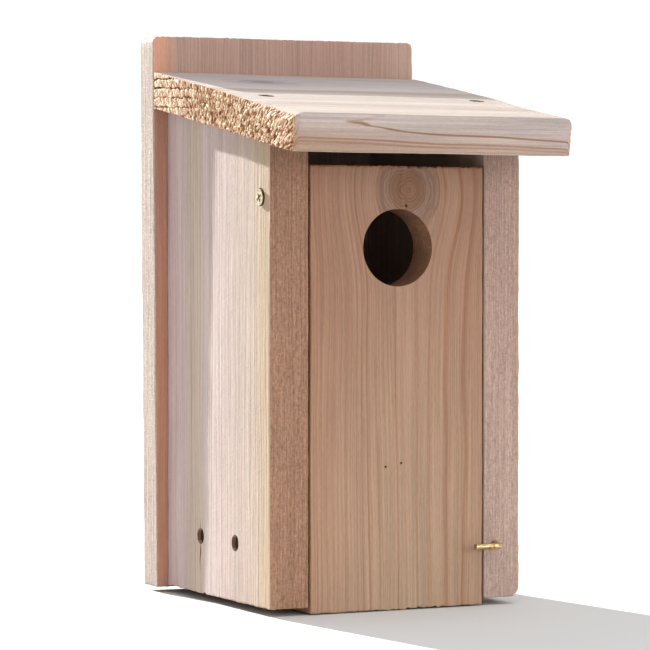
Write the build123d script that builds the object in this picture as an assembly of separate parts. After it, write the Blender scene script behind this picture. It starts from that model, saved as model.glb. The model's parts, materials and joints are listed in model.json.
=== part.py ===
from build123d import *
import math
import os

# A cedar nest box: a back board taller and wider than the box, two sides, a floor let in between
# them, a sloping roof, and a front door that swings out and up on two pivot screws near its top.
# Millimetres, +Z up, the front faces -Y. The origin is the middle of the box's footprint, on the
# level of the door's bottom end.

# Driving dimensions. Heights are above the bottom ends of the side boards, and depths are in front
# of the back board's front face.
BACK_W, BACK_T, BACK_H = 152.9, 18.5, 288.0
BACK_DROP, BACK_CORNER_R = 1.2, 2.5
BOX_W = 138.4
LEFT_T, RIGHT_T = 21.0, 20.3
SIDE_D = 126.0
FLOOR_T, FLOOR_RISE, FLOOR_DOOR_GAP = 20.0, 19.4, 0.6
FLOOR_CORNER = 10.0
ROOF_W, ROOF_T, ROOF_L = 154.0, 19.0, 171.0
ROOF_PITCH = 9.5
ROOF_TOP = 267.0
ROOF_CORNER_R = 2.5
DOOR_GAP, DOOR_T = 0.75, 20.0
DOOR_DROP, DOOR_TOP = 3.3, 216.2
ENTRANCE_D, ENTRANCE_H = 38.1, 175.5
MOUNT_HOLE_D = 5.0
MOUNT_HOLE_HEIGHTS = (90.0, 210.0)

# Countersunk cross-head wood screws, all of one size
SCREW_L = 41.0
HEAD_R, HEAD_RIM = 4.1, 0.4
SHANK_R, ROOT_R = 2.1, 1.5
SHANK_L, THREAD_PITCH = 23.0, 2.5
THREAD_VALLEY, THREAD_RISE = 0.35, 0.8
RECESS_L, RECESS_W, RECESS_DEPTH = 5.2, 1.1, 2.2
HOLE_SLACK = 0.05
TIP_SLACK = 0.6

# Where the screws are
PIVOT_H, PIVOT_DEPTH = 199.8, 11.0
PIVOT_PROUD, PIVOT_SEAT_R = 0.7, 5.0
FLOOR_SCREW_DEPTHS = {"rear": 42.5, "front": 85.0}
FLOOR_SCREW_SINK = 2.2
ROOF_SCREW_ALONG = 100.0
ROOF_SCREW_SINK = 0.3
BACK_SCREW_HEIGHTS = {"lower": 45.0, "upper": 215.0}
BACK_SCREW_SINK = 1.0
ROOF_REAR_SCREW_X, ROOF_REAR_SCREW_DEPTH = 45.0, 11.0
SCREW_SPINS = {"floor": 20, "roof": 35, "back": 50, "rear": 10, "middle": 70, "pivot": 33}

# The latch: square-bent wire whose shank turns in the right side's front edge
WIRE_R = 1.5
LATCH_X, LATCH_H = 55.0, 27.0
LATCH_OUT, LATCH_ARM, LATCH_BEND_R = 7.0, 14.8, 3.0
LATCH_SHANK, LATCH_PITCH, LATCH_ROOT_R = 16.0, 1.6, 1.15
LATCH_PLAIN = 2.0
LATCH_DENT_R = 2.6

# Derived places
PITCH = math.radians(ROOF_PITCH)
ROOF_RUN = ROOF_L * math.cos(PITCH)
FACE_Y = (ROOF_RUN - BACK_T) / 2
REAR_Y = FACE_Y + BACK_T
FRONT_Y = FACE_Y - SIDE_D
BASE_Z = DOOR_DROP
OUTER_X = BOX_W / 2
INNER_X = {-1: -OUTER_X + LEFT_T, 1: OUTER_X - RIGHT_T}
SIDE_MID_X = {sign: (inner + sign * OUTER_X) / 2 for sign, inner in INNER_X.items()}
DOOR_X = {sign: inner - sign * DOOR_GAP for sign, inner in INNER_X.items()}
DOOR_MID_X = (DOOR_X[-1] + DOOR_X[1]) / 2
FLOOR_MID_H = FLOOR_RISE + FLOOR_T / 2
FLOOR_D = SIDE_D - DOOR_T - FLOOR_DOOR_GAP
CUT = 5.0


def at(x, depth, height):
    """A point given by its depth in front of the back board and its height above the sides' ends."""
    return Vector(x, FACE_Y - depth, BASE_Z + height)


def board(x0, x1, y0, y1, z0, z1):
    """A square-sawn board between two corners."""
    centre = Pos((x0 + x1) / 2, (y0 + y1) / 2, (z0 + z1) / 2)
    return centre * Box(x1 - x0, y1 - y0, z1 - z0)


def slab_across(x0, x1, outline):
    """A board with a (depth, height) outline, running across the box from x0 to x1."""
    face = make_face(Polyline(*[at(x0, *point) for point in outline], close=True))
    return extrude(face, amount=x1 - x0, dir=(1, 0, 0))


def turned(profile):
    """A solid of revolution about Z from (radius, z) points."""
    return revolve(make_face(Polyline(*[(r, 0, z) for r, z in profile], close=True)), Axis.Z)


def ringed(profile, start, end, pitch, crest, root):
    """Adds thread rings to a (radius, z) profile, from start down to end."""
    turns = int((start - end) / pitch)
    for i in range(turns):
        z = start - i * pitch
        profile += [(root, z - THREAD_VALLEY * pitch), (crest, z - THREAD_RISE * pitch), (crest, z - pitch)]
    return profile


def wood_screw(spin=0):
    """A screw pointing down -Z with the top of its head at z = 0, its cross turned by spin."""
    cone_end = -HEAD_RIM - (HEAD_R - SHANK_R)
    profile = [(0, 0), (HEAD_R, 0), (HEAD_R, -HEAD_RIM), (SHANK_R, cone_end), (SHANK_R, -SHANK_L)]
    ringed(profile, -SHANK_L, -SCREW_L + THREAD_PITCH, THREAD_PITCH, SHANK_R, ROOT_R)
    profile += [(0, -SCREW_L)]
    wings = Box(RECESS_L, RECESS_W, 2 * RECESS_DEPTH) + Box(RECESS_W, RECESS_L, 2 * RECESS_DEPTH)
    taper = Pos(0, 0, -RECESS_DEPTH / 2) * Cone(RECESS_W / 2, RECESS_L / 2, RECESS_DEPTH)
    return turned(profile) - Rot(0, 0, spin) * (wings & taper)


def screw_hole(sink):
    """What a screw whose head lies sink deep cuts from the wood, mouth at z = 0, down -Z."""
    mouth = HEAD_R + HOLE_SLACK
    bore = SHANK_R + HOLE_SLACK
    seat = -sink - HEAD_RIM + HOLE_SLACK
    end = -SCREW_L - sink - TIP_SLACK
    profile = [(0, CUT), (mouth, CUT), (mouth, seat), (bore, seat - mouth + bore), (bore, end)]
    return turned(profile + [(0, end)])


def facing(point, outward):
    """The placement that turns +Z to the outward direction at a point."""
    return Plane(origin=point, z_dir=outward).location


def into_wood(point, outward, sink, kind):
    """A driven screw and the hole it lies in, as (screw, hole)."""
    place = facing(point, outward)
    return place * Pos(0, 0, -sink) * wood_screw(SCREW_SPINS[kind]), place * screw_hole(sink)


def roof_point(x, along):
    """A point on the roof's upper face, a distance down its slope from the back board."""
    return at(x, along * math.cos(PITCH), ROOF_TOP - along * math.sin(PITCH))


def roof_underside(depth):
    """The height of the roof's lower face at a depth."""
    return ROOF_TOP - ROOF_T / math.cos(PITCH) - depth * math.tan(PITCH)


def driven_screws():
    """Every screw that holds the box together, as {node: (screw, hole)}."""
    found = {}
    roof_up = Vector(0, -math.sin(PITCH), math.cos(PITCH))
    for side, sign in (("left", -1), ("right", 1)):
        for place, depth in FLOOR_SCREW_DEPTHS.items():
            head = at(sign * OUTER_X, depth, FLOOR_MID_H)
            found[f"floor_screw_{side}_{place}"] = into_wood(head, (sign, 0, 0), FLOOR_SCREW_SINK, "floor")
        head = roof_point(SIDE_MID_X[sign], ROOF_SCREW_ALONG)
        found[f"roof_screw_{side}"] = into_wood(head, roof_up, ROOF_SCREW_SINK, "roof")
        for place, height in BACK_SCREW_HEIGHTS.items():
            head = at(SIDE_MID_X[sign], -BACK_T, height)
            found[f"back_screw_{side}_{place}"] = into_wood(head, (0, 1, 0), BACK_SCREW_SINK, "back")
        height = roof_underside(ROOF_REAR_SCREW_DEPTH) + ROOF_T / 2
        head = at(sign * ROOF_REAR_SCREW_X, -BACK_T, height)
        found[f"back_screw_roof_{side}"] = into_wood(head, (0, 1, 0), BACK_SCREW_SINK, "rear")
    head = at(0, -BACK_T, FLOOR_MID_H)
    found["back_screw_floor"] = into_wood(head, (0, 1, 0), BACK_SCREW_SINK, "middle")
    return found


def pivot_screw(sign):
    """A pivot screw: its head stands proud of the side and its tip is fast in the door's edge."""
    head = at(sign * (OUTER_X + PIVOT_PROUD), SIDE_D - PIVOT_DEPTH, PIVOT_H)
    return facing(head, (sign, 0, 0)) * wood_screw(SCREW_SPINS["pivot"])


def pivot_bore(sign):
    """The running bore in a side for the pivot screw, with its wider countersink."""
    bore = SHANK_R + HOLE_SLACK
    through = -max(LEFT_T, RIGHT_T) - CUT
    profile = [(0, CUT), (PIVOT_SEAT_R + CUT, CUT), (bore, bore - PIVOT_SEAT_R), (bore, through)]
    place = facing(at(sign * OUTER_X, SIDE_D - PIVOT_DEPTH, PIVOT_H), (sign, 0, 0))
    return place * turned(profile + [(0, through)])


def pivot_socket(sign):
    """The hole in the door's edge that a pivot screw's thread bites into."""
    length = OUTER_X + PIVOT_PROUD - sign * DOOR_X[sign]
    depth = SCREW_L - length + TIP_SLACK
    hole = Pos(0, 0, (CUT - depth) / 2) * Cylinder(SHANK_R + HOLE_SLACK, depth + CUT)
    return facing(at(DOOR_X[sign], SIDE_D - PIVOT_DEPTH, PIVOT_H), (sign, 0, 0)) * hole


def latch_hook():
    """The wire hook: threaded shank, a square bend, and the arm across the door's edge."""
    root = at(LATCH_X, SIDE_D, LATCH_H)
    bend = root + Vector(0, -LATCH_OUT, 0)
    route = FilletPolyline(root, bend, bend + Vector(-LATCH_ARM, 0, 0), radius=LATCH_BEND_R)
    wire = sweep(facing(root, (0, -1, 0)) * Circle(WIRE_R), path=route)
    profile = [(0, 0), (WIRE_R, 0), (WIRE_R, -LATCH_PLAIN)]
    ringed(profile, -LATCH_PLAIN, -LATCH_SHANK + LATCH_PLAIN, LATCH_PITCH, WIRE_R, LATCH_ROOT_R)
    return wire + facing(root, (0, -1, 0)) * turned(profile + [(0, -LATCH_SHANK)])


def latch_bore():
    """The bore that the hook's shank turns in, with the dent round its mouth."""
    bore = WIRE_R + HOLE_SLACK
    end = -LATCH_SHANK - TIP_SLACK
    mouth = LATCH_DENT_R + CUT
    profile = [(0, CUT), (mouth, CUT), (bore, bore - LATCH_DENT_R), (bore, end), (0, end)]
    return facing(at(LATCH_X, SIDE_D, LATCH_H), (0, -1, 0)) * turned(profile)


def back_panel():
    """The back board, with worn top corners and two holes for fixing it to a post or a wall."""
    bottom = BASE_Z - BACK_DROP
    panel = board(-BACK_W / 2, BACK_W / 2, FACE_Y, REAR_Y, bottom, bottom + BACK_H)
    top_corners = panel.edges().filter_by(Axis.Y).group_by(Axis.Z)[-1]
    panel = fillet(top_corners, BACK_CORNER_R)
    for height in MOUNT_HOLE_HEIGHTS:
        hole = Cylinder(MOUNT_HOLE_D / 2, BACK_T + 2 * CUT)
        panel -= facing(at(0, -BACK_T / 2, height), (0, 1, 0)) * hole
    return panel


def side(sign):
    """A side board, its top end cut to the slope under the roof."""
    outline = [(0, 0), (SIDE_D, 0), (SIDE_D, roof_underside(SIDE_D)), (0, roof_underside(0))]
    near, far = sorted((INNER_X[sign], sign * OUTER_X))
    return slab_across(near, far, outline) - pivot_bore(sign)


def floor_board():
    """The floor, with clipped corners that let water out."""
    height = BASE_Z + FLOOR_RISE
    floor = board(INNER_X[-1], INNER_X[1], FACE_Y - FLOOR_D, FACE_Y, height, height + FLOOR_T)
    return chamfer(floor.edges().filter_by(Axis.Z), FLOOR_CORNER)


def roof_board():
    """The roof, square-cut at the front and cut upright at the rear to lie against the back."""
    front_top = (ROOF_RUN, ROOF_TOP - ROOF_L * math.sin(PITCH))
    front_bottom = (ROOF_RUN - ROOF_T * math.sin(PITCH), front_top[1] - ROOF_T * math.cos(PITCH))
    outline = [(0, ROOF_TOP), front_top, front_bottom, (0, roof_underside(0))]
    roof = slab_across(-ROOF_W / 2, ROOF_W / 2, outline)
    front_corners = roof.faces().sort_by(Axis.Y)[0].edges().sort_by(Axis.X)
    return fillet([front_corners[0], front_corners[-1]], ROOF_CORNER_R)


def door():
    """The front board, with the entrance hole and the pivot screws' sockets."""
    panel = board(DOOR_X[-1], DOOR_X[1], FRONT_Y, FRONT_Y + DOOR_T, 0, BASE_Z + DOOR_TOP)
    drill = Cylinder(ENTRANCE_D / 2, 2 * (DOOR_T + CUT))
    entrance = facing(at(DOOR_MID_X, SIDE_D, ENTRANCE_H), (0, -1, 0)) * drill
    return panel - entrance - pivot_socket(-1) - pivot_socket(1)


screws = driven_screws()
parts = {
    "back_panel": back_panel(),
    "left_side": side(-1),
    "right_side": side(1) - latch_bore(),
    "floor_board": floor_board(),
    "roof_board": roof_board(),
}
# every driven screw cuts its hole from the boards that it passes through
for _, hole in screws.values():
    for name, wood in parts.items():
        if (wood & hole).volume > 1:
            parts[name] = wood - hole
parts |= {name: screw for name, (screw, _) in screws.items()}
parts |= {
    "door": door(),
    "pivot_screw_left": pivot_screw(-1),
    "pivot_screw_right": pivot_screw(1),
    "latch_hook": latch_hook(),
}

os.makedirs("parts", exist_ok=True)
for name, shape in parts.items():
    export_step(shape.solid(), f"parts/{name}.step")
    print(f"{name:24s} {shape.volume:12.1f} mm3")
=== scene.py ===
import json
import math

import bmesh
import bpy
import numpy as np
from mathutils import Matrix, Vector


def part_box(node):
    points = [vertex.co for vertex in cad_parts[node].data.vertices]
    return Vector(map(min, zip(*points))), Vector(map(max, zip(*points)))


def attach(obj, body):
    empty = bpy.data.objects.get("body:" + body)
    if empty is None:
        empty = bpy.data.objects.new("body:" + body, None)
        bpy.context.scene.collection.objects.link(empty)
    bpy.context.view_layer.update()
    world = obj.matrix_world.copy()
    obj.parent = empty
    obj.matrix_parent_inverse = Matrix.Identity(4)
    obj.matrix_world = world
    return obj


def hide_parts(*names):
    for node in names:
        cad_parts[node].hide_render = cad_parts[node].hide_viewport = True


# The looks of a cedar nest box: sawn boards with real grain, worn edges and torn ends, wood screws
# and a brass latch hook. Blender's units are metres; the board code works in millimetres.
MM = 0.001
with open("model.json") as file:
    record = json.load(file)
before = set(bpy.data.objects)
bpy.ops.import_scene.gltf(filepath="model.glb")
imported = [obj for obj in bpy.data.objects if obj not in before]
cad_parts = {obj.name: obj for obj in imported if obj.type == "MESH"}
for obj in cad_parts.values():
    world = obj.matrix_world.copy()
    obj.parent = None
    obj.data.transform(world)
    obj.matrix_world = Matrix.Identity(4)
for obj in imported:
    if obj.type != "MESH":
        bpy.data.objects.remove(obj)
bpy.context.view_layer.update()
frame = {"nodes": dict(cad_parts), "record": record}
X, Y, Z = 0, 1, 2
RECORD = frame["record"]
JOINTS = {joint["name"]: joint for joint in RECORD["behaviour"]["joints"]}
MOUNTS = {mount["name"]: mount for mount in RECORD["mounts"]}
OPENINGS = {opening["name"]: opening for opening in RECORD["physics"]["openings"]}


def box_mm(node):
    """A CAD node's corners in millimetres."""
    low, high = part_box(node)
    return np.array(low) / MM, np.array(high) / MM


def centre_mm(node):
    low, high = box_mm(node)
    return (low + high) / 2


# Places that the frame gives, in millimetres
BACK_LOW, BACK_HIGH = box_mm("back_panel")
LEFT_LOW, LEFT_HIGH = box_mm("left_side")
RIGHT_LOW, RIGHT_HIGH = box_mm("right_side")
DOOR_LOW, DOOR_HIGH = box_mm("door")
ROOF_LOW, ROOF_HIGH = box_mm("roof_board")
PIVOT = np.array(JOINTS["door_hinge"]["pos_m"]) / MM
LATCH = np.array(JOINTS["latch_turn"]["pos_m"]) / MM
ENTRANCE = np.mean(OPENINGS["entrance_hole"]["box_m"], axis=0) / MM
MOUNT_HOLES = MOUNTS["mount_holes"]

# Sizes of the real parts, as in the CAD
ENTRANCE_R = 19.05
ROOF_T = 19.0
SCREW_HEAD_R, SCREW_BORE_R, SCREW_BORE_DEPTH = 4.15, 2.15, 42
PIVOT_MOUTH_R, PIVOT_SOCKET_DEPTH = 5.0, 19.9
LATCH_BORE_R, LATCH_BORE_DEPTH = 1.6, 16.8
FLOOR_CORNER = 10.0

# The back board is fixed a little askew on the real box
BACK_LEAN = math.radians(0.4)
# and is trimmed by these shares to stay inside its CAD box
BACK_TRIM = (0.994, 1, 0.996)

# The roof's slope, from its box: the front face leans back by the pitch and the rear is upright
PITCH = math.radians(9.5)
ROOF_LENGTH = (ROOF_HIGH[Y] - ROOF_LOW[Y]) / math.cos(PITCH)
ROOF_EDGE = np.array([0, ROOF_HIGH[Y], ROOF_HIGH[Z]])


# --- Noise and board meshes ---------------------------------------------------------------------
def noise(points, seed):
    """Smooth noise from -1 to 1 at (n, 3) points, one cell to a unit."""
    table = np.random.RandomState(seed).random_sample(4096)
    cell = np.floor(points).astype(np.int64)
    part = points - cell
    part = part * part * (3 - 2 * part)
    total = np.zeros(len(points))
    for corner in np.ndindex(2, 2, 2):
        key = ((cell + corner) * (73856093, 19349663, 83492791)).sum(axis=1) & 0x7FFFFFFF
        key = (key ^ (key >> 13)) * 1274126177 & 0x7FFFFFFF
        weight = np.prod(np.where(corner, part, 1 - part), axis=1)
        total += weight * table[(key >> 7) % len(table)]
    return total * 2 - 1


def stops(length, step, radius):
    """Places along one side of a board, closer together where its edges are rounded."""
    count = max(2, round((length - 2 * radius) / step))
    middle = np.linspace(radius, length - radius, count + 1)
    return np.concatenate([[0, 0.45 * radius], middle, [length - 0.45 * radius, length]])


def lattice(lines):
    """The outer skin of a block of cells, as (points, quads) with outward faces."""
    counts = [len(line) for line in lines]
    grid = np.stack(np.meshgrid(*[np.arange(n) for n in counts], indexing="ij"), axis=-1)
    skin = ((grid == 0) | (grid == np.array(counts) - 1)).any(axis=-1)
    ids = np.full(counts, -1)
    ids[skin] = np.arange(skin.sum())
    points = np.stack([np.asarray(lines[a])[grid[skin][:, a]] for a in range(3)], axis=1)
    quads = []
    for axis in range(3):
        for end, flip in ((0, True), (-1, False)):
            sheet = np.take(ids, end, axis=axis)
            ring = [sheet[:-1, :-1], sheet[1:, :-1], sheet[1:, 1:], sheet[:-1, 1:]]
            if flip ^ (axis == 1):
                ring.reverse()
            quads.append(np.stack(ring, axis=-1).reshape(-1, 4))
    return points, np.concatenate(quads)


def rough_relief(points, size, seed):
    """The relief of a very rough end, from -1 in a pit to 1 on a ridge."""
    # the saw's strokes lean one way at the rear and the other way at the front
    lean = 0.9 - 1.7 * points[:, Y] / size[Y]
    across_strokes = (points[:, Y] + lean * points[:, Z]) / 0.66
    slant = np.stack([points[:, X] / 9, across_strokes, points[:, Z] / 1.6], axis=1)
    relief = 1.1 * noise(slant, seed + 6) + 0.5 * noise(points / 0.7, seed + 7) + 0.25
    # the latewood of a few rings stands out as dark lines near the rear
    from_rear = size[Y] - points[:, Y]
    near = np.exp(-((from_rear / 46) ** 2))
    ring = (size[Z] - points[:, Z] + 0.114 * from_rear) / 4.7 + 0.12 * noise(points / 5, seed + 9)
    patchy = 0.7 + 0.5 * noise(points / 6, seed + 10)
    line = np.clip(np.cos(2 * np.pi * (ring - 0.85)) - 0.72, 0, 1) * near * patchy
    return np.clip(relief * (1 - 0.4 * near) + 0.6 * near - 6.5 * line, -1, 1)


def sawn_board(size, grain, seed, step=0.7, edge=0.9, ragged=0.35, waves=0.12, fine=None):
    """A sawn board from (0, 0, 0) to size: its edges worn by uneven amounts, its faces not quite
    flat, and its ends torn along the fibres. step is the mesh's spacing, edge the wear, ragged how
    far the ends are torn, waves how far the faces stray, and fine is (axis, depth) of ends left very
    rough. Returns (points, quads, relief), with relief from -1 in a pit to 1 on a ridge."""
    grain_step, edge_band, torn_length = 2.2, 1.4, 3.5
    size = np.array(size, float)
    steps = [step] * 3
    steps[grain] = grain_step
    points, quads = lattice([stops(size[a], steps[a], edge_band) for a in range(3)])
    wear = edge * (1 + 0.55 * noise(points / 9, seed) + 0.35 * noise(points / 2.6, seed + 1))
    wear = np.clip(wear, 0.25, 1.4)[:, None]
    core = np.clip(points, wear, size - wear)
    out = points - core
    normal = out / np.linalg.norm(out, axis=1)[:, None]
    shaped = core + normal * wear
    shaped -= normal * (waves * (1 + noise(points / 38, seed + 2)))[:, None]
    fibre = points / 1.1
    fibre[:, grain] = points[:, grain] / 40
    shaped -= normal * (0.05 * (1 + noise(fibre, seed + 3)))[:, None]
    # torn ends: each fibre stops at its own length, and the tearing dies out along the face
    low_end = np.clip(1 - points[:, grain] / torn_length, 0, 1)
    high_end = np.clip(1 - (size[grain] - points[:, grain]) / torn_length, 0, 1)
    across = points / 0.9
    across[:, grain] = 0
    tear = 0.5 + 0.5 * noise(across, seed + 4) * (0.7 + 0.3 * noise(across / 9, seed + 5))
    torn = np.clip(noise(across / 1.7, seed + 8) - 0.45, 0, 1) * 2.2
    shaped[:, grain] += ragged * (tear + torn) * (low_end**2 - high_end**2)
    relief = np.zeros(len(points))
    if fine:
        axis, depth = fine
        facing = normal[:, axis] ** 2
        relief = rough_relief(points, size, seed)
        shaped[:, axis] -= np.sign(normal[:, axis]) * depth * facing * (0.5 - 0.5 * relief)
        relief *= facing
    return shaped, quads, relief


def new_mesh(name, points, quads, relief=None):
    """An object from points in millimetres."""
    mesh = bpy.data.meshes.new(name)
    mesh.from_pydata((np.asarray(points) * MM).tolist(), [], [list(map(int, face)) for face in quads])
    if relief is not None:
        layer = mesh.attributes.new("relief", "FLOAT", "POINT")
        layer.data.foreach_set("value", relief.astype(np.float32))
    made = bpy.data.objects.new(name, mesh)
    bpy.context.collection.objects.link(made)
    return made


def turned(profile, turns=40):
    """A closed solid of revolution about Z, from (radius, z) points whose ends are on the axis."""
    inner = profile[1:-1]
    angles = np.linspace(0, 2 * np.pi, turns, endpoint=False)
    points = [(r * math.cos(a), r * math.sin(a), z) for r, z in inner for a in angles]
    points += [(0, 0, profile[0][1]), (0, 0, profile[-1][1])]
    top, bottom = len(points) - 2, len(points) - 1
    faces = []
    for k in range(turns):
        n = (k + 1) % turns
        faces.append((top, k, n))
        for row in range(len(inner) - 1):
            a, b = row * turns, (row + 1) * turns
            faces.append((a + k, b + k, b + n, a + n))
        last = (len(inner) - 1) * turns
        faces.append((last + k, bottom, last + n))
    return np.array(points), faces


def placed(points, at, outward):
    """Turns +Z to outward and moves the points to a place."""
    turn = Vector((0, 0, 1)).rotation_difference(Vector(outward)).to_matrix()
    return np.asarray(points) @ np.array(turn).T + np.asarray(at)


def joined(solids):
    """Several (points, faces) solids as one."""
    points, faces, start = [], [], 0
    for some, ring in solids:
        points.extend(np.asarray(some).tolist())
        faces.extend([[i + start for i in face] for face in ring])
        start += len(some)
    return points, faces


def screw_cutter(at, outward, sink):
    """The sunk mouth, seat and bore of one screw; at is on the wood's face."""
    seat = -sink - 0.35
    profile = [(0, 3), (SCREW_HEAD_R, 3), (SCREW_HEAD_R, seat),
               (SCREW_BORE_R, seat - SCREW_HEAD_R + SCREW_BORE_R),
               (SCREW_BORE_R, -SCREW_BORE_DEPTH - sink), (0, -SCREW_BORE_DEPTH - sink)]
    points, faces = turned(profile)
    return placed(points, at, outward), faces


def bore_cutter(at, outward, radius, depth, flare, turns):
    """A hole right through, with the mouths on both faces eased by wear."""
    profile = [(0, 3), (radius + flare + 3, 3), (radius, -flare), (radius, -depth + flare),
               (radius + flare + 3, -depth - 3), (0, -depth - 3)]
    points, faces = turned(profile, turns)
    return placed(points, at, outward), faces


def blind_cutter(at, outward, radius, depth, flare):
    """A hole with a flat bottom, its mouth eased by wear."""
    profile = [(0, 2), (radius + flare + 2, 2), (radius, -flare), (radius, -depth), (0, -depth)]
    points, faces = turned(profile, 24)
    return placed(points, at, outward), faces


def crack_cutter(at, outward, along, length, width, depth):
    """A thin split in the wood that runs out to a point at both ends."""
    out, along = Vector(outward), Vector(along)
    side = out.cross(along)
    at = Vector(at)
    rows = []
    for share, wide in ((0, 0.05), (0.3, 1), (0.65, 0.6), (1, 0.05)):
        middle = at + along * (length * share) + side * (0.25 * width * math.sin(7 * share))
        half = side * (width * wide / 2)
        rows.append([middle + half + out, middle - half + out, middle - out * depth * (0.2 + 0.8 * wide)])
    points = [tuple(p) for row in rows for p in row]
    faces = [(0, 2, 1), (9, 10, 11)]
    for row in range(3):
        a = row * 3
        faces += [(a + k, a + (k + 1) % 3, a + 3 + (k + 1) % 3, a + 3 + k) for k in range(3)]
    return points, faces


def cut(board, solids):
    """Takes the solids out of a board's mesh."""
    points, faces = joined(solids)
    tool = new_mesh("cutter", points, faces)
    shape = bmesh.new()
    shape.from_mesh(tool.data)
    bmesh.ops.recalc_face_normals(shape, faces=shape.faces)
    shape.to_mesh(tool.data)
    shape.free()
    modifier = board.modifiers.new("cut", "BOOLEAN")
    modifier.operation, modifier.object, modifier.solver = "DIFFERENCE", tool, "MANIFOLD"
    with bpy.context.temp_override(object=board, active_object=board):
        bpy.ops.object.modifier_apply(modifier=modifier.name)
    bpy.data.objects.remove(tool)


def finish_piece(piece, node, body, material):
    """Smooth faces with sharp edges where they turn hard, the material, and the frame's calls."""
    shape = bmesh.new()
    shape.from_mesh(piece.data)
    bmesh.ops.dissolve_degenerate(shape, dist=1e-6, edges=shape.edges)
    for face in shape.faces:
        face.smooth = True
    for line in shape.edges:
        line.smooth = line.is_manifold and line.calc_face_angle(0) < math.radians(38)
    shape.to_mesh(piece.data)
    shape.free()
    piece.data.materials.clear()
    piece.data.materials.append(material)
    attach(piece, body)
    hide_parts(node)


# --- Materials ----------------------------------------------------------------------------------
class Shader:
    """Writes a material's nodes: each call adds its nodes and gives back an output."""

    def __init__(self, name):
        self.material = bpy.data.materials.new(name)
        self.material.use_nodes = True
        self.tree = self.material.node_tree
        self.tree.nodes.clear()

    def node(self, kind, inputs=None, output=0, **settings):
        made = self.tree.nodes.new("ShaderNode" + kind)
        for key, value in settings.items():
            setattr(made, key, value)
        for key, value in (inputs or {}).items():
            if isinstance(value, bpy.types.NodeSocket):
                self.tree.links.new(value, made.inputs[key])
            elif value is not None:
                made.inputs[key].default_value = value
        return made.outputs[output]

    def math(self, operation, a, b=None, c=None, clamp=False):
        return self.node("Math", {0: a, 1: b, 2: c}, operation=operation, use_clamp=clamp)

    def distance(self, a, b):
        """The length of (a, b)."""
        squares = self.math("ADD", self.math("POWER", a, 2.0), self.math("POWER", b, 2.0))
        return self.math("SQRT", squares)

    def place(self):
        """The point on the object in millimetres."""
        return self.node("VectorMath", {0: self.node("TexCoord", output=3), 3: 1 / MM}, operation="SCALE")

    def normal(self):
        """The object's face normal, as three outputs."""
        return self.axes(self.node("TexCoord", output=1))

    def axes(self, vector):
        made = self.tree.nodes.new("ShaderNodeSeparateXYZ")
        self.tree.links.new(vector, made.inputs[0])
        return [made.outputs[i] for i in range(3)]

    def point(self, x, y, z):
        return self.node("CombineXYZ", {0: x, 1: y, 2: z})

    def stretched(self, parts, shares, shift=0.0):
        """A place for noise: each part times its share, and the second one shifted."""
        return self.point(*[self.math("MULTIPLY_ADD", part, share, move)
                            for part, share, move in zip(parts, shares, (0.0, shift, 0.0))])

    def noise(self, vector, detail=2.0, roughness=0.5):
        inputs = {"Vector": vector, "Scale": 1.0, "Detail": detail, "Roughness": roughness}
        return self.node("TexNoise", inputs)

    def step(self, value, low, high, to_low=0.0, to_high=1.0):
        """A smooth step from to_low to to_high as value goes from low to high."""
        inputs = {"Value": value, "From Min": low, "From Max": high, "To Min": to_low, "To Max": to_high}
        return self.node("MapRange", inputs, interpolation_type="SMOOTHSTEP")

    def blend(self, share, a, b, mode="MIX"):
        return self.node("Mix", {0: share, 6: a, 7: b}, output=2, data_type="RGBA", blend_type=mode)

    def tint(self, colour, by, share=1.0):
        """A colour multiplied by another one, or by a grey, over a share of the surface."""
        return self.blend(share, colour, by, "MULTIPLY")

    def ramp(self, share, colours):
        """Colours given as (place, colour), in order of place."""
        made = self.tree.nodes.new("ShaderNodeValToRGB")
        self.tree.links.new(share, made.inputs[0])
        band = made.color_ramp
        while len(band.elements) < len(colours):
            band.elements.new(0.5)
        for element, (place, colour) in zip(band.elements, colours):
            element.position, element.color = place, colour
        return made.outputs[0]

    def surface(self, colour, roughness, bump=None, depth=0.2, **fixed):
        """The surface; roughness may be an output, and fixed holds the uniform values."""
        normal = None
        if bump is not None:
            normal = self.node("Bump", {"Height": bump, "Distance": depth * MM, "Strength": 1.0})
        inputs = {"Base Color": colour, "Roughness": roughness, "Normal": normal, **fixed}
        made = self.tree.nodes.new("ShaderNodeOutputMaterial")
        self.tree.links.new(self.node("BsdfPrincipled", inputs), made.inputs[0])
        return self.material


def tone(red, green, blue):
    """A colour as it looks on a screen, 0 to 255, made linear."""
    shares = [c / 255 for c in (red, green, blue)]
    return (*[c / 12.92 if c < 10 / 255 else ((c + 0.055) / 1.055) ** 2.4 for c in shares], 1.0)


def dimmed(colour, gain):
    """A colour with its red, green and blue scaled by a board's gain."""
    return tuple(np.multiply(colour[:3], gain)) + (1.0,)


# Tints that a wood's colour is multiplied by
REDDISH = (0.80, 0.64, 0.52, 1)
RUSTY = (0.66, 0.42, 0.30, 1)
GOLDEN = (0.95, 0.85, 0.72, 1)
DOOR_KNOT = [(0.0, (0.66, 0.60, 0.55, 1)), (0.5, (0.62, 0.56, 0.50, 1)), (0.72, (0.80, 0.84, 0.92, 1)),
             (0.9, (0.76, 0.76, 0.84, 1)), (1.0, (1, 1, 1, 1))]
ROOF_KNOT = [(0.0, (0.50, 0.50, 0.60, 1)), (0.24, (0.56, 0.56, 0.66, 1)), (0.34, (0.90, 0.90, 0.96, 1)),
             (0.52, (0.68, 0.70, 0.82, 1)), (0.7, (0.94, 0.94, 1.0, 1)), (1.0, (1, 1, 1, 1))]
MATT = {"Specular IOR Level": 0.25}


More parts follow.
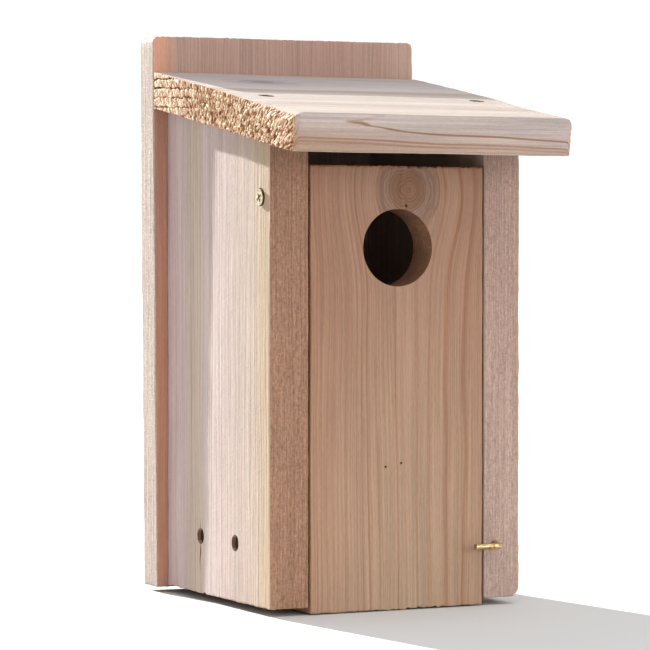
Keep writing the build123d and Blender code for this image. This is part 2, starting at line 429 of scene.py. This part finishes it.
def knotted(s, wide, along, wave, bent, knot):
    """Bends the grain round a knot. Returns the grain, how strongly it is pulled, the distance from
    the knot's middle and the knot's mask."""
    across, height, radius, stretch = knot
    side = s.math("SUBTRACT", wide, across)
    up = s.math("MULTIPLY", s.math("SUBTRACT", along, height), 1 / stretch)
    distance = s.distance(side, up)
    falloff = s.math("MULTIPLY", s.math("POWER", distance, 2.0), -1 / (radius * 1.7) ** 2)
    pull = s.math("POWER", math.e, falloff)
    bent = s.math("SUBTRACT", bent, s.math("MULTIPLY", s.math("MULTIPLY", side, pull), 0.85))
    distance = s.math("MULTIPLY_ADD", s.math("SUBTRACT", wave, 0.5), 5.0, distance)
    mask = s.step(distance, radius * 0.9, radius * 1.12, 1.0, 0.0)
    return bent, pull, distance, mask


def bold_rings(s, wide, above_pith, along, wave, pith_across, taper, rings):
    """The few rings that stand out, as strokes that are equally thick wherever they run."""
    radius = s.distance(s.math("SUBTRACT", wide, pith_across), above_pith)
    radius = s.math("MULTIPLY_ADD", along, taper, radius)
    radius = s.math("MULTIPLY_ADD", s.math("SUBTRACT", wave, 0.5), 0.3, radius)
    slope = s.math("MAXIMUM", s.math("DIVIDE", s.math("ABSOLUTE", above_pith), radius), 0.05)
    stroke = 0.0
    for ring_radius, weight in rings:
        away = s.math("ABSOLUTE", s.math("SUBTRACT", radius, ring_radius))
        line = s.step(s.math("DIVIDE", away, slope), 0.25, 0.7, weight, 0.0)
        stroke = s.math("MAXIMUM", stroke, line)
    # they are fainter above the pith
    return s.math("MULTIPLY", stroke, s.step(above_pith, -0.6, 1.4, 1.0, 0.3))


def cedar(name, node, grain, across, tones, pith, spacing, seed, gain, sawn, contrast=0.5, taper=0.0,
          warp=(11.0, 1.5), line=0.45, fuzz=0.25, end=GOLDEN, edge=None, flank=None, fringe=None,
          paler=None, knot=None, knot_tints=None, bold=(), tilt=0.0, origin=None):
    """Cedar as a solid pattern of growth rings round a pith line, so that grain, cathedrals and end
    grain agree on every face. Sizes are in millimetres about the board's middle, or about origin.

    pith is (across, through), spacing the width of a year and taper the pith's slope along the grain.
    warp is how far the grain drifts and waves, line where in a year its dark latewood starts, and
    contrast how dark that is. tones are (share across the board, colour), all scaled by gain.
    edge is the colour of the narrow edges and flank that of their low side. end and fringe tint the end
    grain and the torn fibres at the upper end, and paler tints the lower part of the board lighter:
    painted light that stands in for the floor's bounce. sawn is the height of the saw marks and fuzz
    the strength of the nap. knot is (across, along, radius, stretch along the grain), with tints from
    its middle outwards. bold are (radius, strength) of rings that stand out. Returns (shader, colour,
    roughness, height)."""
    s = Shader(name)
    low, high = box_mm(node)
    middle = (low + high) / 2 if origin is None else origin
    width = high[across] - low[across] if origin is None else ROOF_LENGTH
    length = high[grain] - low[grain]
    through = 3 - grain - across

    # The board's own directions
    place = s.node("VectorMath", {0: s.place(), 1: tuple(middle)}, operation="SUBTRACT")
    if tilt:
        place = s.node("VectorRotate", {"Vector": place, "Angle": tilt}, rotation_type="X_AXIS")
    parts = s.axes(place)
    wide, deep, along = grid = parts[across], parts[through], parts[grain]
    normal = s.normal()
    narrow = s.step(s.math("ABSOLUTE", normal[across]), 0.6, 0.85)
    cut_end = s.step(s.math("ABSOLUTE", normal[grain]), 0.6, 0.88)

    # The grain strays from the straight
    drift = s.noise(s.stretched(grid, (1 / 34, 1 / 34, 1 / 210), seed), 1.5)
    wave = s.noise(s.stretched(grid, (1 / 6, 1 / 6, 1 / 55), seed + 7), 2.0)
    bent = s.math("MULTIPLY_ADD", s.math("SUBTRACT", drift, 0.5), warp[0], wide)
    bent = s.math("MULTIPLY_ADD", s.math("SUBTRACT", wave, 0.5), warp[1], bent)
    pull = 0.0
    if knot:
        bent, pull, knot_distance, knot_mask = knotted(s, wide, along, wave, bent, knot)

    # Growth rings of uneven width, some years darker than others
    above_pith = s.math("SUBTRACT", deep, pith[1])
    radius = s.distance(s.math("SUBTRACT", bent, pith[0]), above_pith)
    if taper:
        radius = s.math("MULTIPLY_ADD", along, taper, radius)
    uneven = s.node("TexNoise", {"W": s.math("MULTIPLY", radius, 1 / 7), "Scale": 1.0, "Detail": 1.0},
                    noise_dimensions="1D")
    ring = s.math("MULTIPLY_ADD", uneven, 1.6, s.math("MULTIPLY", radius, 1 / spacing))
    if knot:
        knot_ring = s.math("MULTIPLY", knot_distance, 1 / 1.5)
        ring = s.math("ADD", s.math("MULTIPLY", ring, s.math("SUBTRACT", 1.0, knot_mask)),
                      s.math("MULTIPLY", knot_ring, knot_mask))
    part = s.math("FRACT", ring)
    year = s.node("TexWhiteNoise", {"W": s.math("FLOOR", ring)}, noise_dimensions="1D")
    dark = s.math("MULTIPLY", s.step(part, line, 0.86), s.step(part, 0.9, 1.0, 1.0, 0.0))
    dark = s.math("MULTIPLY", dark, s.math("MULTIPLY_ADD", s.math("POWER", year, 2.0), 0.85, 0.15))
    if bold:
        dark = s.math("MULTIPLY", dark, s.math("MULTIPLY_ADD", narrow, -0.8, 1.0))

    # Colour across the board, on its edges, in the knot and in the rings
    share = s.math("MULTIPLY_ADD", bent, 1 / width, 0.5)
    colour = s.ramp(share, [(spot, dimmed(shade, gain)) for spot, shade in tones])
    if edge:
        edge_colour = dimmed(edge, gain)
        if flank:
            low_side = s.step(s.math("MULTIPLY_ADD", along, 0.06, deep), -21.0, -4.0, 1.0, 0.0)
            edge_colour = s.blend(low_side, edge_colour, dimmed(flank, gain))
        colour = s.blend(narrow, colour, edge_colour)
    if knot:
        knot_tint = s.ramp(s.math("MULTIPLY", knot_distance, 1 / knot[2]), knot_tints)
        colour = s.tint(colour, knot_tint, knot_mask)
    share = s.math("MULTIPLY", dark, s.math("MULTIPLY_ADD", pull, contrast, contrast), clamp=True)
    colour = s.tint(colour, REDDISH, share)
    if bold:
        stroke = bold_rings(s, wide, above_pith, along, wave, pith[0], taper, bold)
        colour = s.tint(colour, RUSTY, stroke)

    # Fibres, pores and clouds, and the nap that the saw left
    fibre = s.noise(s.stretched((bent, deep, along), (1.3, 1.3, 0.009)), 3.0, 0.65)
    pore = s.noise(s.stretched((bent, deep, along), (4.0, 4.0, 0.2)), 2.0)
    blotch = s.noise(s.stretched(grid, (1 / 18, 1 / 18, 1 / 70)), 3.0)
    streak = s.step(fibre, 0.28, 0.72, 0.83, 1.12)
    fleck = s.step(pore, 0.60, 0.74, 1.0, 0.84)
    cloud = s.step(blotch, 0.3, 0.7, 0.96, 1.04)
    shade = s.math("MULTIPLY", s.math("MULTIPLY", streak, fleck), cloud)
    nap = s.noise(s.stretched(grid, (1.5, 1.5, 0.3)), 3.0, 0.7)
    nap = s.step(nap, 0.3, 0.7, -fuzz, fuzz)
    if edge:
        nap = s.math("MULTIPLY", nap, s.math("MULTIPLY_ADD", narrow, 0.8, 0.2))
        # the saw's teeth leave short marks across the narrow edges
        teeth = s.noise(s.stretched(grid, (0.4, 0.55, 0.95)), 2.0, 0.7)
        teeth = s.math("MULTIPLY", s.step(teeth, 0.34, 0.66, -fuzz, fuzz), narrow)
        nap = s.math("MULTIPLY_ADD", teeth, 0.5, nap)
    shade = s.math("MULTIPLY", shade, s.math("ADD", nap, 1.0))
    # painted light: the lower part of the board is made lighter, standing in for the bounce from the floor
    if paler:
        painted_bounce_share = s.step(along, -length / 2, length / 3, 1.0, 0.0)
        colour = s.tint(colour, (*paler, 1.0), painted_bounce_share)
    colour = s.tint(colour, s.point(shade, shade, shade))

    # The two ends
    if fringe:
        tuft = s.point(s.math("MULTIPLY", wide, 0.8), s.math("MULTIPLY", deep, 0.8), 0.5)
        reach = s.math("MULTIPLY_ADD", s.noise(tuft, 2.0, 0.7), 5.0, -0.9)
        from_tip = s.math("SUBTRACT", length / 2, along)
        torn = s.step(s.math("SUBTRACT", from_tip, reach), -0.6, 0.5, 1.0, 0.0)
        colour = s.tint(colour, fringe, torn)
    grit = s.noise(s.stretched(grid, (1.9, 1.9, 1.9)), 3.0, 0.7)
    grit = s.step(grit, 0.3, 0.7, 0.62, 1.25)
    end_colour = s.tint(s.tint(colour, end), s.point(grit, grit, grit))
    colour = s.blend(cut_end, colour, end_colour)

    # Relief and gloss
    saw = s.noise(s.point(s.math("MULTIPLY", wide, 0.12), s.math("MULTIPLY", deep, 0.12),
                          s.math("MULTIPLY_ADD", wide, 0.3, s.math("MULTIPLY", along, 0.9))), 2.0, 0.6)
    height = s.math("MULTIPLY_ADD", dark, 0.5, s.math("MULTIPLY", fibre, 0.9))
    height = s.math("MULTIPLY_ADD", pore, -0.5, height)
    height = s.math("MULTIPLY_ADD", saw, sawn, height)
    rough = s.math("MULTIPLY_ADD", dark, -0.12, s.math("MULTIPLY_ADD", pore, 0.15, 0.72))
    return s, colour, rough, height


def wood(*args, **options):
    s, colour, rough, height = cedar(*args, **options)
    return s.surface(colour, rough, height, 0.3, **MATT)


def rough_roof(*args, **options):
    """The roof's cedar, with the relief of its torn ends read from the mesh and painted into their colour.
    """
    s, colour, rough, height = cedar(*args, **options)
    relief = s.node("Attribute", output=2, attribute_name="relief")
    end = s.step(s.math("ABSOLUTE", relief), 0.0, 0.04)
    grit = s.noise(s.node("VectorMath", {0: s.place(), 1: (0.5, 1.9, 1.0)}, operation="MULTIPLY"), 2.0, 0.6)
    # the ends run from dark brown in their pits to cream on their ridges: painted shade in the pits and
    # painted highlight on the ridges, over the grain's own speckle and dark ring lines
    share = s.math("MULTIPLY_ADD", grit, 1.3, s.math("MULTIPLY_ADD", relief, 0.55, -0.15))
    pit_shade_and_speck = s.ramp(share, [(0.12, tone(70, 34, 18)), (0.36, tone(138, 82, 46)), (0.54, tone(174, 122, 80)),
                           (0.74, tone(204, 166, 128)), (0.92, tone(230, 206, 178))])
    colour = s.blend(s.math("MULTIPLY", end, 0.9), colour, pit_shade_and_speck)
    return s.surface(colour, rough, height, 0.3, **MATT)


def metal(name, colour, worn, roughness):
    """A plated metal, its colour and gloss uneven, with fine scratches."""
    s = Shader(name)
    place = s.place()
    cloud = s.noise(s.node("VectorMath", {0: place, 3: 0.7}, operation="SCALE"), 3.0, 0.6)
    scratch = s.noise(s.node("VectorMath", {0: place, 1: (9.0, 9.0, 1.2)}, operation="MULTIPLY"), 3.0, 0.7)
    tint = s.blend(s.step(cloud, 0.35, 0.7), colour, worn)
    rough = s.math("MULTIPLY_ADD", scratch, 0.3, roughness)
    return s.surface(tint, rough, scratch, 0.03, **{"Metallic": 1.0})


# --- Boards -------------------------------------------------------------------------------------
def worn_corners(points, size, axis, level, reach, strength=1.0):
    """Rounds the two corners of a board that are at its ends in X and at level along axis. strength
    is one number, or one for each point."""
    for corner_x, sign in ((0.0, 1), (size[X], -1)):
        from_side = np.abs(points[:, X] - corner_x)
        from_level = np.abs(points[:, axis] - level)
        pull = np.clip(1 - (from_side + from_level) / reach, 0, 1) * 0.4 * reach * strength
        points[:, X] += sign * pull
        points[:, axis] += (1 if level == 0 else -1) * pull


def out_of_square(points):
    """Turns the back board by its lean, and trims it."""
    middle = (BACK_LOW + BACK_HIGH) / 2
    turn = np.array(Matrix.Rotation(BACK_LEAN, 3, "Y"))
    return (np.asarray(points) - middle) * BACK_TRIM @ turn + middle


def build_back(material):
    size = BACK_HIGH - BACK_LOW
    points, quads, _ = sawn_board(size, Z, seed=11, step=0.8, edge=1.0, ragged=0.5, waves=0.15)
    worn_corners(points, size, Z, size[Z], 3.0)
    board = new_mesh("back_board", out_of_square(points + BACK_LOW), quads)
    cutters = []
    for node in frame["nodes"]:
        if node.startswith("back_screw"):
            middle = centre_mm(node)
            cutters.append(screw_cutter((middle[X], BACK_HIGH[Y], middle[Z]), (0, 1, 0), 1.0))
    spread = MOUNT_HOLES["dims"]["spacing_y_mm"] / 2
    for sign in (-1, 1):
        at = np.array(MOUNT_HOLES["pos_m"]) / MM + (0, 0, sign * spread)
        cutters.append(bore_cutter(at, (0, 1, 0), MOUNT_HOLES["dims"]["hole_r_mm"], size[Y], 0.5, 32))
    cut(board, cutters)
    finish_piece(board, "back_panel", "housing", material)


def build_side(sign, name, node, material, seed):
    low, high = (LEFT_LOW, LEFT_HIGH) if sign < 0 else (RIGHT_LOW, RIGHT_HIGH)
    size = high - low
    rise = math.tan(PITCH)
    front_height = size[Z] - size[Y] * rise
    points, quads, _ = sawn_board((size[X], size[Y], front_height), Z, seed=seed, edge=0.8, ragged=0.6)
    if sign > 0:
        # the lower front corner of the outer edge is worn round
        corner_reach, corner_length, corner_pull = 4.5, 30, 1.8
        from_corner = (size[X] - points[:, X]) + points[:, Z]
        pull = np.clip(1 - from_corner / corner_reach, 0, 1) * corner_pull
        pull *= np.clip(1 - points[:, Y] / corner_length, 0, 1)
        points[:, X] -= pull
        points[:, Z] += pull
    # the top end follows the roof's slope
    top = front_height + np.clip(points[:, Y], 0, size[Y]) * rise
    points[:, Z] *= top / front_height
    board = new_mesh(name, points + low, quads)

    outer, out = (low[X] if sign < 0 else high[X]), (sign, 0, 0)
    screws = []
    for place in ("front", "rear"):
        middle = centre_mm(f"floor_screw_{'left' if sign < 0 else 'right'}_{place}")
        screws.append((outer, middle[Y], middle[Z]))
    cutters = [screw_cutter(at, out, 2.2) for at in screws]
    pivot, faces = turned([(0, 5), (PIVOT_MOUTH_R + 5, 5), (SCREW_BORE_R, SCREW_BORE_R - PIVOT_MOUTH_R),
                           (SCREW_BORE_R, -25), (0, -25)])
    cutters.append((placed(pivot, (outer, PIVOT[Y], PIVOT[Z]), out), faces))
    if sign > 0:
        mouth = (LATCH[X], low[Y], LATCH[Z])
        cutters.append(blind_cutter(mouth, (0, -1, 0), LATCH_BORE_R, LATCH_BORE_DEPTH, 1.0))
    cut(board, cutters)
    if sign < 0:
        # the wood is split below and above the rear screw
        _, y, z = screws[1]
        cut(board, [crack_cutter((outer, y + 0.3, z - 3), out, (0, 0, -1), 15, 2.0, 3.5),
                    crack_cutter((outer, y, z + 3), out, (0, 0, 1), 7, 0.8, 2.0)])
    finish_piece(board, node, "housing", material)


def build_floor(material):
    low, high = box_mm("floor_board")
    size = high - low
    points, quads, _ = sawn_board(size, Y, seed=41, step=1.6, edge=0.8, ragged=0.3)
    # the corners are sawn off at 45 degrees
    middle = size[:2] / 2
    from_middle = points[:, :2] - middle
    over = np.clip(np.abs(from_middle).sum(axis=1) - middle.sum() + FLOOR_CORNER, 0, None) / 2
    points[:, :2] -= np.sign(from_middle) * over[:, None]
    board = new_mesh("floor_plank", points + low, quads)
    finish_piece(board, "floor_board", "housing", material)


def build_roof(material):
    width = ROOF_HIGH[X] - ROOF_LOW[X]
    size = np.array([width, ROOF_LENGTH, ROOF_T])
    points, quads, relief = sawn_board(size, X, seed=51, step=0.45, edge=1.0, ragged=0.25, fine=(X, 1.1))
    # here Y runs up the slope from the front edge, and Z is up through the thickness
    worn_corners(points, size, Y, 0, 4.0)
    worn_corners(points, size, Z, size[Z], 5.0, np.clip(1.2 - points[:, Y] / 70, 0, 1))
    # the rear end is cut upright, to lie against the back board
    below_top = size[Z] - points[:, Z]
    points[:, Y] -= below_top * math.tan(PITCH) * points[:, Y] / size[Y]
    slope = np.array(Matrix.Rotation(PITCH, 3, "X"))
    origin = ROOF_EDGE + (ROOF_LOW[X], 0, 0)
    points = (points - (0, size[Y], size[Z])) @ slope.T + origin
    board = new_mesh("roof_plank", points, quads, relief)
    cutters = []
    up = np.array([0, -math.sin(PITCH), math.cos(PITCH)])
    for side in ("left", "right"):
        middle = centre_mm(f"roof_screw_{side}")
        lift = (ROOF_EDGE - middle) @ up
        cutters.append(screw_cutter(middle + up * lift, up, 0.3))
    cut(board, cutters)
    finish_piece(board, "roof_board", "housing", material)


def build_door(material):
    size = DOOR_HIGH - DOOR_LOW
    points, quads, _ = sawn_board(size, Z, seed=61, step=0.65, edge=0.6, ragged=0.95)
    board = new_mesh("door_plank", points + DOOR_LOW, quads)
    at = (ENTRANCE[X], DOOR_LOW[Y], ENTRANCE[Z])
    cutters = [bore_cutter(at, (0, -1, 0), ENTRANCE_R, size[Y], 0.15, 96)]
    # small nicks: (across from the entrance, height, radius, depth, flare)
    for across, height, radius, depth, flare in ((-6.7, 71.1, 0.55, 1.6, 0.3), (2.0, 72.7, 0.55, 1.6, 0.3),
                                                 (4.7, 199.5, 0.7, 1.5, 0.4)):
        at = (ENTRANCE[X] + across, DOOR_LOW[Y], height)
        cutters.append(blind_cutter(at, (0, -1, 0), radius, depth, flare))
    for sign, edge_x in ((-1, DOOR_LOW[X]), (1, DOOR_HIGH[X])):
        at = (edge_x, PIVOT[Y], PIVOT[Z])
        cutters.append(blind_cutter(at, (sign, 0, 0), SCREW_BORE_R, PIVOT_SOCKET_DEPTH, 0.3))
    cut(board, cutters)
    finish_piece(board, "door", "door", material)


# --- The wood of each board ---------------------------------------------------------------------
DOOR_MIDDLE = (DOOR_LOW + DOOR_HIGH) / 2
ROOF_MIDDLE = ROOF_EDGE - np.array([0, math.cos(PITCH), math.sin(PITCH)]) * ROOF_LENGTH / 2

# On each board, paler is painted light: it lightens the lower part in place of the floor's bounce.
back_wood = wood(
    "cedar_back", "back_panel", Z, X,
    [(0.0, tone(206, 152, 128)), (0.04, tone(206, 152, 128)), (0.09, tone(178, 146, 132)),
     (0.7, tone(176, 142, 128)), (1.0, tone(184, 152, 136))],
    pith=(30, 260), spacing=2.4, seed=3.0, gain=(0.75, 0.76, 0.77), sawn=0.6, contrast=0.15, fuzz=0.18,
    end=(0.97, 0.93, 0.88, 1), edge=tone(194, 176, 163), paler=(1.1, 1.1, 1.1))
# Across the left side the rear tones are lighter and lavender: painted light that lifts the real shadow of
# the back board there, and painted lavender of skylit shade. The olive and yellow bands across it are the
# wood's own colour, the olive one lifted too.
left_wood = wood(
    "cedar_left", "left_side", Z, Y,
    [(0.0, tone(204, 178, 148)), (0.04, tone(196, 170, 140)), (0.1, tone(196, 174, 152)),
     (0.2, tone(198, 178, 164)), (0.4, tone(202, 181, 172)), (0.53, tone(207, 187, 181)),
     (0.6, tone(212, 194, 188)), (0.66, tone(206, 186, 168)), (0.78, tone(198, 180, 164)),
     (0.86, tone(208, 185, 181)), (1.0, tone(200, 173, 170))],
    pith=(-150, 120), spacing=1.9, seed=9.0, gain=(0.745, 0.755, 0.77), sawn=0.2, contrast=0.62, line=0.6,
    fuzz=0.24, edge=tone(160, 121, 98), paler=(1.12, 1.12, 1.12))
right_wood = wood(
    "cedar_right", "right_side", Z, Y,
    [(0.0, tone(200, 172, 156)), (0.4, tone(202, 176, 162)), (1.0, tone(196, 168, 156))],
    pith=(190, -60), spacing=2.1, seed=23.0, gain=(0.67, 0.67, 0.66), sawn=0.2, fuzz=0.19,
    edge=tone(182, 152, 140), paler=(1.24, 1.32, 1.34))
floor_wood = wood(
    "cedar_floor", "floor_board", Y, X,
    [(0.0, tone(196, 166, 144)), (0.5, tone(204, 176, 156)), (1.0, tone(194, 164, 146))],
    pith=(-40, -90), spacing=2.2, seed=31.0, gain=(0.70, 0.72, 0.73), sawn=0.6)
door_wood = wood(
    "cedar_door", "door", Z, X,
    [(0.0, tone(170, 128, 106)), (0.25, tone(176, 138, 116)), (0.6, tone(178, 142, 120)),
     (1.0, tone(172, 132, 110))],
    pith=(60, 150), spacing=1.9, seed=5.0, gain=(0.66, 0.65, 0.64), sawn=0.15, contrast=1.15, line=0.6,
    edge=tone(178, 134, 104), fringe=(1.0, 0.72, 0.54, 1), paler=(1.3, 1.47, 1.47),
    knot=(5.9 - ENTRANCE[X], ENTRANCE[Z] + 28.4 - DOOR_MIDDLE[Z], 17.0, 1.0), knot_tints=DOOR_KNOT)
roof_wood = rough_roof(
    "cedar_roof", "roof_board", X, Y,
    [(0.0, tone(206, 194, 184)), (0.12, tone(214, 204, 194)), (0.22, tone(200, 184, 172)),
     (0.3, tone(214, 206, 198)), (0.42, tone(204, 192, 182)), (0.5, tone(214, 204, 198)),
     (0.57, tone(196, 178, 164)), (0.62, tone(222, 212, 206)), (0.72, tone(206, 197, 194)),
     (0.82, tone(196, 188, 188)), (1.0, tone(192, 180, 172))],
    pith=(-ROOF_LENGTH / 2 + 30, -4.0), spacing=1.9, seed=13.0, gain=(0.66, 0.65, 0.66), sawn=0.3,
    contrast=0.9, taper=-0.008, warp=(3.0, 0.3), line=0.66, fuzz=0.04, edge=tone(200, 187, 180),
    flank=tone(186, 158, 136), knot=(49.5, -31.3, 12.0, 1.7), knot_tints=ROOF_KNOT,
    bold=((30.22, 1.0), (31.35, 0.75), (31.9, 0.5), (33.6, 0.35)), tilt=-PITCH, origin=ROOF_MIDDLE)
brass = metal("brass_plate", tone(212, 190, 142), tone(150, 118, 82), 0.24)
zinc = metal("yellow_zinc", tone(200, 188, 158), tone(132, 118, 96), 0.3)
# The other screws' steel is dark: painted shade of the holes they are sunk in.
painted_shade_steel = metal("steel_with_painted_hole_shade", tone(88, 78, 70), tone(44, 38, 34), 0.38)

build_back(back_wood)
build_side(-1, "left_board", "left_side", left_wood, 21)
build_side(1, "right_board", "right_side", right_wood, 31)
build_floor(floor_wood)
build_roof(roof_wood)
build_door(door_wood)

# The screws and the latch hook keep their CAD shapes
for node, thing in frame["nodes"].items():
    if "screw" in node or node == "latch_hook":
        thing.data.materials.clear()
        thing.data.materials.append({"latch": brass, "pivot": zinc}.get(node.split("_")[0], painted_shade_steel))

# --- Floor, light and camera --------------------------------------------------------------------
FLOOR_HALF = 12.0
floor_mesh = bpy.data.meshes.new("studio_floor")
floor_mesh.from_pydata([(-FLOOR_HALF, -FLOOR_HALF, 0), (FLOOR_HALF, -FLOOR_HALF, 0),
                        (FLOOR_HALF, FLOOR_HALF, 0), (-FLOOR_HALF, FLOOR_HALF, 0)], [], [(0, 1, 2, 3)])
studio_floor = bpy.data.objects.new("studio_floor", floor_mesh)
bpy.context.collection.objects.link(studio_floor)
paper = Shader("pale_floor")
grey = paper.noise(paper.node("TexCoord", output=3), 2.0)
grey = paper.ramp(grey, [(0.3, (0.55, 0.55, 0.55, 1)), (0.7, (0.58, 0.58, 0.58, 1))])
studio_floor.data.materials.append(paper.surface(grey, 0.9))

SUN_FROM = Vector((-1.0, 8.4, 3.15)).normalized()
TOP_FROM = Vector((0.15, -0.4, 1.0)).normalized()
FRONT_FROM = Vector((0.35, -1.0, 0.22)).normalized()
LAMP_AWAY = 3

# A studio flag behind the back board keeps the key light off its rear face
FLAG_AWAY, FLAG_RIM = 0.14, 0.9
flag_low, flag_high = BACK_LOW + FLAG_RIM, BACK_HIGH - FLAG_RIM
flag_corners = [(x, BACK_HIGH[Y], z) for x, z in ((flag_low[X], flag_low[Z]), (flag_high[X], flag_low[Z]),
                                                  (flag_high[X], flag_high[Z]), (flag_low[X], flag_high[Z]))]
flag = new_mesh("flag", out_of_square(flag_corners) + np.array(SUN_FROM) * FLAG_AWAY / MM, [(0, 1, 2, 3)])
cloth = Shader("flag_cloth")
weave = cloth.noise(cloth.node("TexCoord", output=3))
weave = cloth.blend(weave, (0.5, 0.5, 0.5, 1), (0.55, 0.55, 0.55, 1))
flag.data.materials.append(cloth.surface(weave, 0.9))
flag.visible_camera = flag.visible_diffuse = flag.visible_glossy = flag.visible_transmission = False


def sun(name, direction, colour, energy, angle):
    """A distant light that shines against direction, its disc as wide as angle."""
    light = bpy.data.lights.new(name, "SUN")
    light.color, light.energy, light.angle = colour, energy, math.radians(angle)
    holder = bpy.data.objects.new(name, light)
    holder.location = direction * LAMP_AWAY
    holder.rotation_mode = "QUATERNION"
    holder.rotation_quaternion = direction.to_track_quat("Z", "Y")
    bpy.context.collection.objects.link(holder)


sun("key", SUN_FROM, (1.0, 0.97, 0.93), 12.0, 0.8)
sun("top", TOP_FROM, (1.0, 0.99, 0.97), 1.2, 60.0)
sun("front", FRONT_FROM, (1.0, 0.99, 0.97), 1.45, 35.0)

# The backdrop is white, and lights the box less brightly than it looks
BACKDROP_LIGHT, BACKDROP_LOOK = 0.72, 1.05
world = bpy.data.worlds.new("studio")
world.use_nodes = True
backdrop = world.node_tree.nodes["Background"]
ray = world.node_tree.nodes.new("ShaderNodeLightPath")
strength = world.node_tree.nodes.new("ShaderNodeMapRange")
strength.inputs["To Min"].default_value = BACKDROP_LIGHT
strength.inputs["To Max"].default_value = BACKDROP_LOOK
world.node_tree.links.new(ray.outputs["Is Camera Ray"], strength.inputs["Value"])
world.node_tree.links.new(strength.outputs["Result"], backdrop.inputs["Strength"])
backdrop.inputs["Color"].default_value = (1.0, 1.0, 1.0, 1)
bpy.context.scene.world = world
bpy.context.scene.view_settings.view_transform = "Standard"

# The photo's view
VIEW_AZIMUTH, VIEW_ELEVATION = math.radians(26.1), math.radians(1.28)
VIEW_DISTANCE = 1.538
VIEW_POINT = Vector((-0.00595, 0.0177, 0.1395))
VIEW_LENS, VIEW_SENSOR = 166.5, 36.0
away = Vector((-math.sin(VIEW_AZIMUTH) * math.cos(VIEW_ELEVATION),
               -math.cos(VIEW_AZIMUTH) * math.cos(VIEW_ELEVATION), math.sin(VIEW_ELEVATION)))
camera_data = bpy.data.cameras.new("camera")
camera_data.lens, camera_data.sensor_width = VIEW_LENS, VIEW_SENSOR
camera = bpy.data.objects.new("camera", camera_data)
camera.location = VIEW_POINT + away * VIEW_DISTANCE
camera.rotation_mode = "QUATERNION"
camera.rotation_quaternion = away.to_track_quat("Z", "Y")
bpy.context.collection.objects.link(camera)
bpy.context.scene.camera = camera
